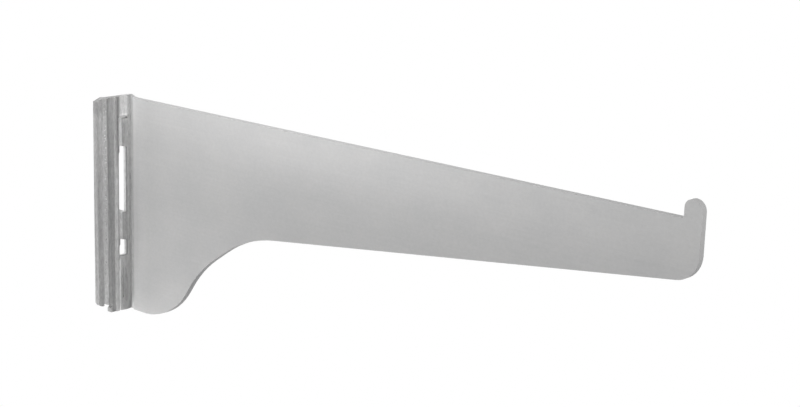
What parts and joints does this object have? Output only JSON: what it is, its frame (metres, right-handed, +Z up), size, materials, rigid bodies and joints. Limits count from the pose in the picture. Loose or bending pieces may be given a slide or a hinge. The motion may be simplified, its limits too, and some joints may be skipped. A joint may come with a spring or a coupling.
{
  "type": "slotted shelf bracket",
  "caption": "One-piece folded steel shelf bracket with a tapering arm, an upright stop at the tip and a windowed rear flange with hooks for a slotted wall standard.",
  "frame": {"origin": "where the rear bearing plane of the flange, the middle plane of the hooks and the level of the shelf seat meet", "axes": "+X along the arm from the wall standard to the tip, +Y towards the side of the flange that carries the arm, +Z up"},
  "size_m": [0.3139, 0.0207, 0.1081],
  "materials": {
    "bracket": "satin zinc-plated sheet"
  },
  "bodies": {
    "root": {"bracket": "bracket"}
  },
  "joints": []
}
